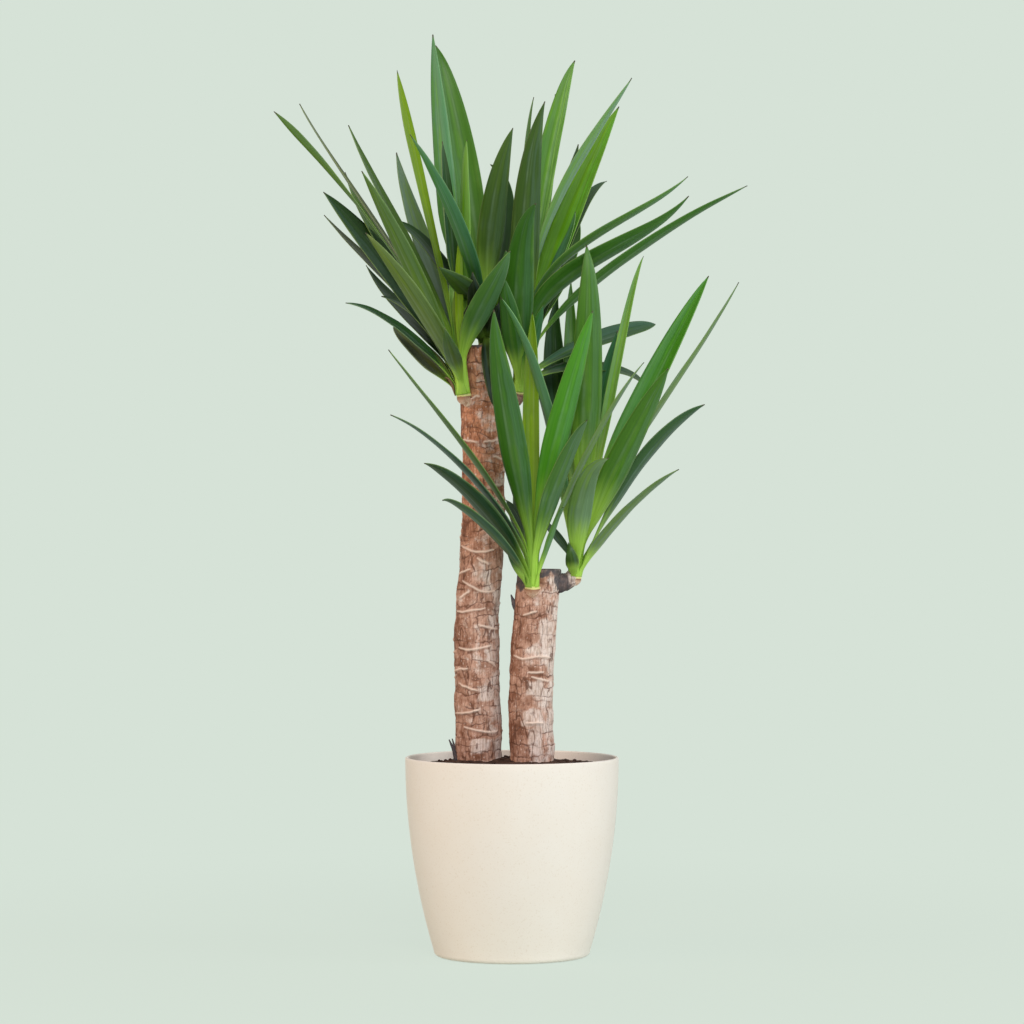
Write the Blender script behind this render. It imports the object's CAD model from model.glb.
"""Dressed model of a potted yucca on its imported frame: planter, soil, canes, shoots and leaves.

It is laid out as a Blender add-on and run as a script. Lengths in the tables are millimetres,
+Z is up and -Y is the plant's front.
"""

import bisect
import math
import random
from collections import namedtuple

import bmesh
import bpy
import numpy as np
from bpy.props import FloatProperty, FloatVectorProperty, IntProperty, PointerProperty
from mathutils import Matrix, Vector, noise


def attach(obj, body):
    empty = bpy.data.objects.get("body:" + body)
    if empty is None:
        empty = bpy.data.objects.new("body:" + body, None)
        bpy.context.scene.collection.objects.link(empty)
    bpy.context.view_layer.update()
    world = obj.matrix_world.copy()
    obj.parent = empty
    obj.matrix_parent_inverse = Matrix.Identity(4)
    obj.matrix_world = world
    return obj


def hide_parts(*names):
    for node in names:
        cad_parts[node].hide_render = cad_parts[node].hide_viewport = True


bl_info = {
    "name": "Potted Yucca",
    "version": (1, 0, 0),
    "blender": (4, 5, 0),
    "location": "3D View > Sidebar > Yucca",
    "description": "Makes the planter, soil, canes, shoots and leaves of a potted yucca",
    "category": "Object",
}

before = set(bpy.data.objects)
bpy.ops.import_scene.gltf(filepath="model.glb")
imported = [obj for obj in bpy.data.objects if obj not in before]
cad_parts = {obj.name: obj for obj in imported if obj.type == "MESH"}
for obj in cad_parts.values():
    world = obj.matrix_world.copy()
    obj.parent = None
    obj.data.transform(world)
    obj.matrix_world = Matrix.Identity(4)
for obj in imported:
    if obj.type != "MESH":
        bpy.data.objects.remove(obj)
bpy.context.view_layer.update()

MM = 0.001

Cane = namedtuple("Cane", "points scars plates seal stub pale_side waxed seed")
Shoot = namedtuple("Shoot", "root foot direction length green_reach")
Leaf = namedtuple("Leaf", "rise middle tip width face tone")

# Canes: centre x, y, z and radius, from the planted end to the sawn top.
TALL_CANE = [
    (-33.0, 6.0, 90.0, 22.0), (-32.5, 7.0, 192.0, 22.8), (-34.0, 8.0, 262.0, 22.6),
    (-34.5, 8.0, 330.0, 21.8), (-29.0, 8.0, 405.0, 21.2), (-28.0, 8.0, 455.0, 20.8),
    (-30.5, 8.0, 540.0, 20.2), (-30.0, 8.0, 600.0, 18.8),
]
SHORT_CANE = [
    (19.0, -8.0, 90.0, 21.2), (19.5, -8.0, 192.0, 21.8), (18.5, -8.0, 260.0, 21.8),
    (22.5, -8.0, 330.0, 21.3), (27.0, -8.0, 380.0, 21.4),
]
TALL_STUB = [
    (-24.0, 7.0, 536.0, 7.0), (-8.0, 6.0, 541.0, 6.4), (3.0, 5.0, 546.0, 6.4),
    (6.6, 5.0, 552.0, 7.0),
]
SHORT_STUB = [
    (30.0, -7.0, 365.0, 10.5), (46.0, -7.0, 366.0, 9.5), (55.0, -6.0, 368.5, 8.2),
    (60.5, -5.0, 373.0, 7.4),
]

# Old leaf scars on the front of each cane: (degrees round from the front, height) along each ridge.
TALL_SCARS = [
    [(-38, 225), (30, 220), (52, 222)],
    [(-74, 238), (-30, 239), (3, 242)],
    [(-53, 268), (-26, 264), (0, 261)],
    [(-80, 279), (-50, 282), (-24, 282)],
    [(28, 290), (53, 285)],
    [(-53, 303), (-26, 301), (-1, 302), (39, 305)],
    [(5, 325), (65, 321)],
    [(-73, 339), (-41, 338), (20, 342)],
    [(-55, 352), (-26, 358)],
    [(-52, 369), (-17, 363), (8, 358), (48, 359)],
    [(-77, 375), (-27, 380)],
    [(-12, 391), (20, 385)],
    [(-68, 403), (-16, 397), (33, 399)],
    [(29, 463), (57, 463)],
    [(31, 491), (72, 487)],
    [(-66, 507), (-15, 505)],
    [(4, 505), (50, 507)],
    [(-31, 546), (-14, 550), (-3, 549)],
]
SHORT_SCARS = [
    [(-13, 230), (32, 230)],
    [(0, 275), (31, 272), (49, 271)],
    [(-10, 279), (33, 280)],
    [(-56, 296), (-27, 293), (-4, 294), (16, 295), (54, 294)],
    [(-35, 335), (3, 339)],
]
# Twigs: dry sprigs in the soil by the tall cane, and a loose flake on the short cane's side.
TWIGS = {
    "soil_sprig": [(-54, 2, 183, 2.0), (-56, 0, 196, 1.9), (-58, 0, 203, 1.5), (-62, 0, 212, 0.6)],
    "soil_sprig_fork": [(-57, 0, 200, 1.2), (-57, 0, 206, 1.1), (-59, 0, 213, 0.5)],
    "bark_flake": [
        (7, -9, 338, 3.2), (3.5, -10, 343, 3.0), (1.5, -10, 348, 2.2), (-1, -10, 355, 0.5),
    ],
}
TWIG_WAXED = 1.1

# Weathered plates on the front of each cane: from and to degrees, from and to height.
TALL_PLATES = [(18, 46, 291, 303), (5, 48, 252, 264), (-20, 28, 200, 213)]
SHORT_PLATES = [(-10, 32, 256, 270), (-18, 34, 227, 243), (-6, 24, 199, 225), (20, 60, 300, 330)]

# How far the wax comes down from each sawn top: degrees round from the front, mm.
TALL_SEAL = [(-180, 3), (180, 3)]
SHORT_SEAL = [
    (-180, 8), (-90, 14), (-60, 21), (-38, 19), (-22, 8), (10, 7), (24, 6), (32, 3), (40, 8),
    (50, 17), (75, 21), (100, 16), (180, 8),
]

# Both canes, with how much paler the bark gets towards the right, and how dark the side stub is.
CANES = {
    "tall": Cane(TALL_CANE, TALL_SCARS, TALL_PLATES, TALL_SEAL, TALL_STUB, 0.35, 0.5, 11.0),
    "short": Cane(SHORT_CANE, SHORT_SCARS, SHORT_PLATES, SHORT_SEAL, SHORT_STUB, 0.6, 1.0, 47.0),
}
# Height above which a cane's skin is made in fine rings, and height up to which it stays plain.
FINE_FROM = 178.0
PLAIN_UP_TO = 180.0

# Shoots: root in the wood, foot on the bark, growing direction, the green stem's length, and how
# far the yellow-green base colour reaches on the lowest leaves.
SHOOTS = {
    "tall_left": Shoot((-39, -2, 537), (-47, -11, 549), (-0.12, -0.02, 1.0), 72, 20),
    "tall_top": Shoot((-27, 11, 585), (-26, 14, 600), (-0.04, 0.08, 1.0), 62, 14),
    "tall_right": Shoot((6, 5, 544), (7, 5, 552), (0.08, -0.05, 1.0), 76, 24),
    "short_front": Shoot((22, -18, 348), (20, -31, 361), (0.0, -0.14, 1.0), 66, 17),
    "short_right": Shoot((58, -5, 367), (61, -5, 371), (0.12, -0.05, 1.0), 66, 44),
}
STEM_FOOT_RADIUS = 7.5
STEM_TOP_RADIUS = 2.5

# Leaves, one row each: height of the base above the shoot's foot, middle, tip, width, the turn of
# the blade in degrees (0 shows its inner side to the front, 180 its back), and tone.
# The rows in LEAVES stand for the frame's leaves in their order; those in SMALL_LEAVES are more.
LEAVES = {
    "tall_left": [
        (14, (-57, -60, 586), (-64, -100, 612), 15, 172, "moss"),
        (13, (-125, -8, 626), (-163, -15, 641), 18, 65, "slate"),
        (17, (-84, -75, 626), (-140, -100, 703), 21, 140, "khaki"),
        (25, (-124, 60, 680), (-191, 100, 760), 34, 40, "dark"),
        (28, (-112, -55, 701), (-145, -70, 765), 21, 142, "olive"),
        (34, (-25, -72, 640), (-2, -110, 685), 26, -150, "jade"),
        (44, (-178, -19, 769), (-233, -22, 828), 7, 102, "olive"),
        (40, (-137, 42, 724), (-214, 80, 847), 18, 82, "dusk"),
        (50, (-134, 28, 758), (-163, 40, 821), 22, 66, "moss"),
        (32, (-83, 75, 680), (-118, 130, 803), 30, 48, "ash"),
        (51, (-48, -24, 692), (-44, -30, 799), 20, 122, "spring"),
        (54, (-97, 58, 790), (-116, 90, 882), 12, 35, "lime"),
        (63, (-62, -28, 725), (-68, -26, 798), 20, 50, "dark"),
        (68, (-70, 14, 790), (-78.5, 22, 909), 25, 142, "teal"),
        (22, (-75, 75, 640), (-75, 140, 705), 24, 10, "dark"),
    ],
    "tall_top": [
        (12, (-67, 47, 676), (-121, 78, 729), 22, 50, "dark"),
        (16, (-18, 80, 668), (-8, 150, 735), 26, 0, "dark"),
        (22, (-50, -88, 705), (-97, -118, 795), 18, 142, "blue"),
        (30, (0, 60, 695), (14, 105, 780), 26, -10, "dark"),
        (42, (-11, -20, 770), (1, -30, 811), 27, 200, "moss"),
        (50, (-45, 62, 758), (-77, 90, 907), 31, 10, "grass"),
    ],
    "tall_right": [
        (12, (78, 60, 605), (146, 120, 627), 21, -38, "slate"),
        (16, (15, 80, 640), (20, 150, 690), 26, 0, "dark"),
        (20, (8, -65, 677), (23, -115, 730), 29, 182, "deep"),
        (25, (123, -64, 704), (170, -80, 740), 30, -126, "deep"),
        (30, (190, 16, 736), (233, 20, 759), 20, -118, "deep"),
        (38, (111, -36, 722), (171, -45, 762), 16, -118, "grey"),
        (45, (45, 75, 670), (65, 135, 745), 26, -25, "deep"),
        (52, (68, 45, 757), (107, 60, 842), 31, -35, "bright"),
        (46, (84, -50, 807), (116, -60, 856), 17, -121, "frost"),
        (60, (22, -47, 797), (32, -55, 834), 28, 180, "fern"),
        (70, (30, 40, 747), (63, 60, 888), 26, -40, "mint"),
    ],
    "short_front": [
        (16, (-69, -120, 476), (-83, -140, 482), 24, 130, "dark"),
        (20, (13, 30, 430), (8, 90, 480), 22, 5, "dark"),
        (24, (81, -70, 506), (127, -78, 580), 15, -112, "ash"),
        (28, (-82, -112, 508), (-115, -135, 528), 22, 103, "slate"),
        (33, (51, -98, 482), (71, -145, 523), 24, -135, "jade"),
        (38, (-81, -90, 543), (-118, -105, 591), 16, 107, "olive"),
        (44, (-4, -95, 524), (-17, -125, 628), 27, 165, "deep"),
        (52, (51, -85, 534), (77, -110, 628), 27, -152, "fresh"),
        (60, (20, -40, 525), (20, -45, 630), 21, -40, "gold"),
    ],
    "short_right": [
        (9, (138, -57, 461), (161, -70, 477), 19, -120, "ash"),
        (12, (71, -84, 462), (92, -125, 487), 23, 180, "silver"),
        (18, (170, 3, 529), (190, 5, 542), 25, -120, "slate"),
        (22, (70, 60, 430), (75, 125, 480), 24, 0, "dark"),
        (27, (27, -55, 554), (-11, -72, 643), 24, 117, "teal"),
        (32, (116, -50, 506), (150, -85, 574), 28, -155, "grass"),
        (40, (188, 65, 600), (229, 90, 668), 16, -110, "ash"),
        (46, (137, 10, 561), (195, 25, 670), 27, -30, "fresh"),
        (55, (96, -10, 546), (129, -12, 687), 11, -25, "pale"),
        (60, (73, -45, 555), (72, -60, 694), 30, 188, "grass"),
    ],
}
SMALL_LEAVES = {
    "tall_left": [
        (6, (-82, 8, 585), (-118, 25, 619), 22, 30, "dusk"),
        (36, (-51.5, -40, 637), (-47, -50, 714), 8, 180, "lime"),
        (30, (-121, 75, 664), (-191, 115, 738), 20, 60, "dusk"),
        (22, (-110, 60, 668), (-169, 100, 780), 22, 60, "olive"),
        (18, (-103, 80, 631), (-149, 130, 688), 22, 50, "dark"),
        (10, (-88, 60, 624), (-132, 95, 654), 22, 60, "slate"),
    ],
    "tall_top": [
        (36, (-12, 60, 708), (-22, 110, 789), 26, 0, "dark"),
        (26, (-46, -60, 653), (-70, -105, 670), 22, 150, "fern"),
        (8, (-33, -34, 634), (-38, -62, 668), 20, 174, "shade"),
        (3, (-38, -16, 616), (-41, -30, 640), 20, 170, "shade"),
        (5, (-20, -18, 618), (-13, -34, 640), 18, -170, "shade"),
        (16, (-18, -26, 640), (-15, -34, 672), 8, 176, "gold"),
        (14, (-13, -26, 650), (-6, -50, 690), 20, -164, "deep"),
        (6, (-23, -20, 592), (-15, -24, 538), 15, 175, "shade"),
        (18, (-48, 30, 660), (-66, 60, 720), 22, 60, "dark"),
    ],
    "tall_right": [
        (40, (12, 60, 748), (22, 100, 856), 8, 10, "moss"),
        (50, (34, 80, 750), (44, 125, 862), 12, -10, "frost"),
        (34, (44, 95, 716), (68, 145, 813), 24, -20, "dark"),
        (26, (66, 90, 736), (97, 145, 775), 22, -30, "dark"),
        (56, (43, 15, 675), (63, 30, 734), 18, -60, "blue"),
        (8, (83, 60, 580), (135, 110, 562), 22, -60, "dark"),
        (14, (0, -42, 612), (-8, -74, 662), 21, 168, "deep"),
        (9, (21, -30, 604), (30, -52, 636), 14, -155, "blue"),
        (22, (-16, 30, 640), (-28, 64, 702), 22, 30, "dark"),
    ],
    "short_front": [
        (10, (-19, -75, 414), (-66, -130, 447), 18, 120, "slate"),
        (5, (1.6, -46, 388), (-5, -54, 401), 9, 150, "slate"),
        (12, (40, -65, 419), (49, -105, 440), 7, -140, "grey"),
        (26, (6, 20, 428), (-6, 50, 448), 16, 10, "dark"),
    ],
    "short_right": [
        (30, (89, 40, 535), (106, 70, 618), 28, -40, "blue"),
        (14, (46, 30, 410), (34, 70, 425), 9, 20, "slate"),
        (36, (46, 60, 548), (47, 110, 655), 28, 0, "dark"),
        (42, (60, 45, 570), (59, 60, 668), 20, 0, "grass"),
        (3, (59, -27, 386), (55, -28, 406), 13, 178, "fern"),
    ],
}
# Dry brown scales at a shoot's foot, in the same rows.
DRY_SCALES = {
    "tall_left": [
        (2, (-58, -10, 556), (-66, -12, 567), 9, 100, "dry"),
        (4, (-60, 0, 562), (-70, 4, 572), 10, 70, "dry"),
    ],
}
# Leaves of another form: share of the length where the blade is widest, its twist in degrees
# towards the tip, and the share of the shoot's green reach that it keeps.
LEAF_FORMS = {
    "tall_left_blade_07": (0.86, 68, 1.0),
    "tall_left_blade_12": (0.72, 0, 1.0),
    "tall_left_small_blade_02": (0.40, 0, 1.0),
    "tall_right_blade_01": (0.62, 0, 1.0),
    "tall_right_blade_04": (0.34, 0, 1.0),
    "tall_right_blade_05": (0.38, 0, 1.0),
    "tall_right_blade_09": (0.62, 0, 1.0),
    "tall_right_blade_11": (0.58, 0, 1.0),
    "short_right_blade_01": (0.32, 0, 0.6),
    "short_right_blade_03": (0.66, 0, 1.0),
    "short_right_small_blade_02": (0.45, 0, 0.15),
    "short_right_small_blade_05": (0.45, 0, 0.4),
}
COMMON_FORM = (0.45, 0, 1.0)
# Blades that stand up along the shoot before they arch over: lean at the stem in degrees, and
# speed along the line. Other blades lean from the low value on a shoot's lowest leaf to the top
# value on its highest.
LEAF_STARTS = {
    "tall_right_blade_04": (-12, 1.3),
    "tall_right_blade_05": (5, 0.55),
    "tall_right_blade_06": (-14, 1.3),
    "tall_right_blade_09": (-10, 1.1),
}
LEAF_START_SPEED = 0.5
LEAF_LOW_LEAN = 30.0
LEAF_TOP_LEAN = 5.0
# Share of its length over which a blade turns to its own face.
LEAF_TURN_END = 0.45
# A leaf's base: gap to the stem, height and radius of its clasp at the shoot's foot, and how much
# further out it lies for each leaf above it.
LEAF_SEAT = 1.1
FOOT_RISE = 2.4
FOOT_CLASP = 5.5
CLASP_STEP = 0.12

# Meshes: sides round and rings along each piece, and the rows and columns of a leaf.
PLANTER_SIDES, WALL_RINGS, RIM_STEPS, FOOT_STEPS = 160, 26, 8, 6
SOIL_SIDES, SOIL_RINGS = 220, 72
BARK_SIDES, BARK_STEP, CAP_RINGS = 156, 0.7, 12
STUB_SIDES, STUB_RINGS = 48, 60
STEM_SIDES, STEM_RINGS = 40, 90
BLADE_COLUMNS, BLADE_ROWS, NECK_ROWS = 10, 44, 8
SCAR_STEPS = 8
# Leaf scars change the bark up to this far above and below them, in mm.
SCAR_REACH = 9.0
# The noise that sways the bark's cracks starts from the clock unless it is seeded.
BARK_SWAY_SEED = 7
# Share of a tube's length that its rounded end takes.
STUB_END, STEM_END = 0.1, 0.06
# In metres: radius of the flat ring in the planter's floor, underside of the soil, and the gap
# between soil and planter.
FLOOR_RING = 0.04
SOIL_BOTTOM = 0.15
SOIL_GAP = 0.0002
# Heights in mm from which a cane has scars on its back, and ring cracks.
SCARS_FROM, CRACKS_FROM = 190, 170.0
# Stage, in metres: the camera's distance and height, the point that the lamps aim at, and the
# floor's radius and level.
CAMERA_DISTANCE, CAMERA_HEIGHT = 3.5, 0.436
LAMP_AIM = (0.0, 0.0, 0.4)
FLOOR_RADIUS, FLOOR_LEVEL = 4.0, -0.0005


def linear(red, green, blue):
    """A display colour from 0 to 255 as the linear colour that a shader takes."""
    values = [value / 255.0 for value in (red, green, blue)]
    return tuple(
        value / 12.92 if value <= 0.04045 else ((value + 0.055) / 1.055) ** 2.4 for value in values
    )


LEAF_TONES = {
    "deep": linear(60, 110, 38),
    "dark": linear(36, 72, 28),
    "shade": linear(24, 40, 18),
    "fern": linear(61, 92, 38),
    "grass": linear(74, 122, 40),
    "jade": linear(80, 124, 70),
    "spring": linear(108, 164, 40),
    "fresh": linear(80, 148, 44),
    "bright": linear(104, 158, 8),
    "pale": linear(128, 178, 92),
    "mint": linear(92, 156, 54),
    "frost": linear(122, 164, 126),
    "ash": linear(114, 142, 110),
    "dusk": linear(98, 104, 84),
    "teal": linear(88, 148, 98),
    "lime": linear(126, 158, 10),
    "gold": linear(122, 162, 4),
    "olive": linear(86, 120, 46),
    "khaki": linear(98, 122, 46),
    "moss": linear(76, 106, 48),
    "blue": linear(66, 124, 76),
    "slate": linear(54, 92, 64),
    "grey": linear(96, 142, 88),
    "silver": linear(118, 154, 108),
    "dry": linear(132, 98, 66),
}
# The other half of a blade whose halves differ.
HALF_TONES = {"bright": linear(96, 168, 66), "mint": linear(134, 184, 124)}
# Share of a leaf's own tone that its yellow-green base keeps, 0.08 where it isn't listed.
NECK_SHADES = {
    "shade": 0.75, "dark": 0.35, "fern": 0.25, "deep": 0.15, "slate": 0.35, "dusk": 0.4,
    "blue": 0.2, "moss": 0.3, "mint": 0.15, "teal": 0.2,
}


# ---------------------------------------------------------------- settings

def length_setting(name, description, default):
    return FloatProperty(
        name=name, description=description, default=default, min=0.0, unit="LENGTH")


def power_setting(name, description, default):
    return FloatProperty(
        name=name, description=description, default=default, min=0.0, unit="POWER")


def colour_setting(name, description, default):
    return FloatVectorProperty(
        name=name, description=description, default=default, size=3, min=0.0, max=1.0,
        subtype="COLOR",
    )


class PlanterSettings(bpy.types.PropertyGroup):
    height: length_setting("Height", "Height of the planter", 0.195)
    rim_radius: length_setting("Rim radius", "Outer radius at the rim", 0.105)
    wall: length_setting("Wall", "Thickness of the wall", 0.003)
    floor: length_setting("Floor", "Thickness of the floor", 0.004)
    lean: length_setting("Lean", "How far the wall comes in at the foot", 0.0295)
    foot_round: length_setting("Foot round", "Radius of the round edge at the foot", 0.005)
    colour: colour_setting("Colour", "Cream plastic", linear(242, 235, 228))
    inner_colour: colour_setting("Inner wall", "Paler, warmer inner wall", linear(255, 246, 236))
    speck_colour: colour_setting("Specks", "Specks in the plastic", linear(218, 202, 184))


class SoilSettings(bpy.types.PropertyGroup):
    edge_level: length_setting("Edge level", "Height of the soil at the wall", 0.186)
    middle_level: length_setting("Middle level", "Height of the soil in the middle", 0.188)
    mound: length_setting("Mound", "How far the soil rises at each cane", 0.004)
    crumbs: IntProperty(name="Crumbs", description="Number of loose crumbs", default=420, min=0)
    colour: colour_setting("Colour", "Moist potting soil", linear(84, 61, 53))


class CaneSettings(bpy.types.PropertyGroup):
    scar_height: length_setting("Scar height", "How far a leaf scar stands out", 0.0010)
    scar_width: length_setting("Scar width", "Half the width of a leaf scar", 0.0010)
    crack_depth: length_setting("Crack depth", "Depth of the cracks between plates", 0.0006)
    lump_height: length_setting("Lumps", "Unevenness of the cane", 0.0012)
    bark: colour_setting("Bark", "Tan brown bark", linear(208, 166, 148))
    young_bark: colour_setting("Young bark", "Browner bark high on a cane", linear(212, 150, 117))
    dark_bark: colour_setting("Dark bark", "Darker, warmer plates", linear(146, 98, 76))
    pale_bark: colour_setting("Weathered bark", "Pale weathered plates", linear(238, 222, 215))
    scar: colour_setting("Scar", "Pale leaf scars", linear(244, 220, 206))
    crack: colour_setting("Crack", "Dark cracks", linear(98, 62, 48))
    seal: colour_setting("Seal", "Dark wax on a sawn top", linear(70, 68, 74))


class LeafSettings(bpy.types.PropertyGroup):
    thickness: length_setting("Thickness", "Thickness of a blade", 0.0008)
    neck_share: FloatProperty(
        name="Neck", description="Width of the neck as a share of the blade", default=0.33,
        min=0.05, max=1.0, subtype="FACTOR")
    gutter: FloatProperty(
        name="Gutter", description="Half angle of the blade's round section", default=0.52,
        min=0.05, max=1.4, subtype="ANGLE")
    ribbon: length_setting("Ribbon", "Half the width of a leaf's base at the shoot's foot", 0.0046)
    ripple: length_setting("Ripple", "Waviness of the blade's edges", 0.0006)
    base_colour: colour_setting("Base", "Yellow green at the leaf base", linear(178, 222, 88))
    tip_colour: colour_setting("Tip", "Dry tip", linear(72, 68, 48))
    edge_colour: colour_setting("Edge", "Pale edge line", linear(160, 190, 110))


class StageSettings(bpy.types.PropertyGroup):
    backdrop: colour_setting("Backdrop", "Pale mint floor and backdrop", linear(214, 226, 215))
    front_power: power_setting("Front", "Power of the front lamp", 48.0)
    key_power: power_setting("Key", "Power of the key lamp", 38.0)
    fill_power: power_setting("Fill", "Power of the fill lamp", 32.0)
    sky_level: FloatProperty(
        name="Sky", description="Level of the light all round", default=0.33, min=0.0)


class YuccaSettings(bpy.types.PropertyGroup):
    planter: PointerProperty(type=PlanterSettings)
    soil: PointerProperty(type=SoilSettings)
    cane: PointerProperty(type=CaneSettings)
    leaf: PointerProperty(type=LeafSettings)
    stage: PointerProperty(type=StageSettings)


def settings():
    return bpy.context.scene.yucca


# ---------------------------------------------------------------- material nodes

def add_node(tree, kind, inputs=None, **values):
    """A shader node; inputs maps a socket's name or number to a value or another node's socket."""
    item = tree.nodes.new(kind)
    for name, value in values.items():
        setattr(item, name, value)
    for name, value in (inputs or {}).items():
        if isinstance(value, bpy.types.NodeSocket):
            tree.links.new(value, item.inputs[name])
        else:
            item.inputs[name].default_value = value
    return item


def maths(tree, operation, first, second=0.0, clamp=False):
    item = add_node(
        tree, "ShaderNodeMath", {0: first, 1: second}, operation=operation, use_clamp=clamp)
    return item.outputs[0]


def times(tree, first, second):
    return maths(tree, "MULTIPLY", first, second)


def plus(tree, first, second):
    return maths(tree, "ADD", first, second)


def mixed(tree, share, first, second, part=None, blend="MIX"):
    """Mix of two colours, each a socket or a linear colour; part makes the share smaller."""
    if part is not None:
        share = times(tree, share, part)
    colours = [c if isinstance(c, bpy.types.NodeSocket) else (*c, 1.0) for c in (first, second)]
    item = add_node(
        tree, "ShaderNodeMix", {0: share, 6: colours[0], 7: colours[1]}, data_type="RGBA",
        blend_type=blend)
    return item.outputs[2]


def tinted(tree, colour, tint):
    return mixed(tree, 1.0, colour, tint, blend="MULTIPLY")


def stepped(tree, value, low, high):
    """0 below low, 1 above high, and smooth between; the other way round where low > high."""
    item = add_node(
        tree, "ShaderNodeMapRange", {0: value, 1: low, 2: high, 3: 0.0, 4: 1.0},
        interpolation_type="SMOOTHSTEP")
    return item.outputs[0]


def off_centre(tree, value):
    """How far a value from 0 to 1 is from 0.5."""
    return maths(tree, "ABSOLUTE", maths(tree, "SUBTRACT", value, 0.5))


def noise_value(tree, vector, scale, detail=2.0, roughness=0.5):
    item = add_node(
        tree, "ShaderNodeTexNoise",
        {"Vector": vector, "Scale": scale, "Detail": detail, "Roughness": roughness})
    return item.outputs[0]


def object_coordinates(tree):
    return add_node(tree, "ShaderNodeTexCoord").outputs["Object"]


def stretched(tree, vector, scale):
    item = add_node(tree, "ShaderNodeVectorMath", {0: vector, 1: scale}, operation="MULTIPLY")
    return item.outputs[0]


def point_value(tree, name):
    return add_node(tree, "ShaderNodeAttribute", attribute_name=name).outputs["Fac"]


def bumped(tree, height, strength, distance):
    item = add_node(
        tree, "ShaderNodeBump", {"Height": height, "Strength": strength, "Distance": distance})
    return item.outputs[0]


def finish_material(name, build, roughness, specular=0.5):
    """A material whose tree build(tree) gives (colour, roughness, normal) sockets."""
    material = bpy.data.materials.new(name)
    material.use_nodes = True
    tree = material.node_tree
    shader = tree.nodes["Principled BSDF"]
    shader.inputs["Roughness"].default_value = roughness
    shader.inputs["Specular IOR Level"].default_value = specular
    colour, rough, normal = build(tree)
    tree.links.new(colour, shader.inputs["Base Color"])
    if rough:
        tree.links.new(rough, shader.inputs["Roughness"])
    if normal:
        tree.links.new(normal, shader.inputs["Normal"])
    return material


def planter_material():
    sizes = settings().planter

    def build(tree):
        place = object_coordinates(tree)
        cloud = noise_value(tree, place, 28.0, 3.0)
        specks = stepped(tree, noise_value(tree, place, 620.0, 1.0), 0.60, 0.72)
        fine = noise_value(tree, place, 1500.0, 2.0)
        warm = mixed(tree, 0.06, sizes.colour, (0.80, 0.66, 0.52))
        base = mixed(tree, stepped(tree, cloud, 0.35, 0.65), sizes.colour, warm)
        base = mixed(tree, point_value(tree, "inside"), base, sizes.inner_colour)
        colour = mixed(tree, specks, base, sizes.speck_colour, 0.27)
        rough = plus(tree, times(tree, cloud, 0.14), 0.40)
        return colour, rough, bumped(tree, fine, 0.12, 0.0002)

    return finish_material("cream_plastic", build, 0.5, 0.4)


def soil_material():
    sizes = settings().soil

    def build(tree):
        place = object_coordinates(tree)
        lumps = noise_value(tree, place, 160.0, 4.0, 0.65)
        grains = noise_value(tree, place, 900.0, 3.0, 0.6)
        dark = tinted(tree, sizes.colour, (0.45, 0.42, 0.40))
        base = mixed(tree, stepped(tree, lumps, 0.35, 0.7), dark, sizes.colour)
        fibre = stepped(tree, grains, 0.62, 0.72)
        colour = mixed(tree, fibre, base, linear(120, 88, 62), 0.5)
        height = plus(tree, lumps, times(tree, grains, 0.5))
        return colour, None, bumped(tree, height, 0.7, 0.0015)

    return finish_material("potting_soil", build, 0.95, 0.2)


def bark_material():
    """Tan bark, browner high up, with worn and weathered plates, fibres, flakes and cracks."""
    sizes = settings().cane
    worn_tint = (0.70, 0.62, 0.56)

    def build(tree):
        place = object_coordinates(tree)
        height = add_node(tree, "ShaderNodeSeparateXYZ", {0: place}).outputs[2]
        fibre = noise_value(tree, stretched(tree, place, (620.0, 620.0, 90.0)), 1.0, 4.0, 0.6)
        blotch = noise_value(tree, place, 70.0, 4.0, 0.6)
        grain = noise_value(tree, place, 420.0, 3.0, 0.6)
        young = stepped(tree, plus(tree, height, times(tree, blotch, 0.05)), 0.38, 0.50)
        base = mixed(tree, young, sizes.bark, sizes.young_bark)
        base = mixed(tree, point_value(tree, "dark"), base, sizes.dark_bark)
        worn = tinted(tree, base, worn_tint)
        base = mixed(tree, stepped(tree, blotch, 0.60, 0.36), base, worn)
        colour = mixed(tree, point_value(tree, "pale"), base, sizes.pale_bark)
        streak = tinted(tree, colour, worn_tint)
        colour = mixed(tree, stepped(tree, fibre, 0.56, 0.36), colour, streak)
        flake = mixed(tree, 0.85, colour, sizes.pale_bark)
        flakes = times(tree, stepped(tree, grain, 0.56, 0.72), stepped(tree, fibre, 0.44, 0.60))
        colour = mixed(tree, flakes, colour, flake)
        wander = noise_value(tree, stretched(tree, place, (84.0, 84.0, 16.0)), 1.0, 2.0)
        split = stepped(tree, off_centre(tree, wander), 0.024, 0.007)
        split = times(tree, split, stepped(tree, blotch, 0.62, 0.46))
        fewer = maths(tree, "SUBTRACT", 0.8, times(tree, young, 0.45))
        colour = mixed(tree, split, colour, sizes.crack, fewer)
        colour = mixed(tree, point_value(tree, "crack"), colour, sizes.crack)
        colour = mixed(tree, point_value(tree, "scar"), colour, sizes.scar)
        colour = mixed(tree, point_value(tree, "seal"), colour, sizes.seal)
        rough = plus(tree, times(tree, grain, 0.2), 0.66)
        relief = plus(tree, fibre, times(tree, grain, 0.6))
        return colour, rough, bumped(tree, relief, 0.4, 0.0006)

    return finish_material("cane_bark", build, 0.8, 0.3)


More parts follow.
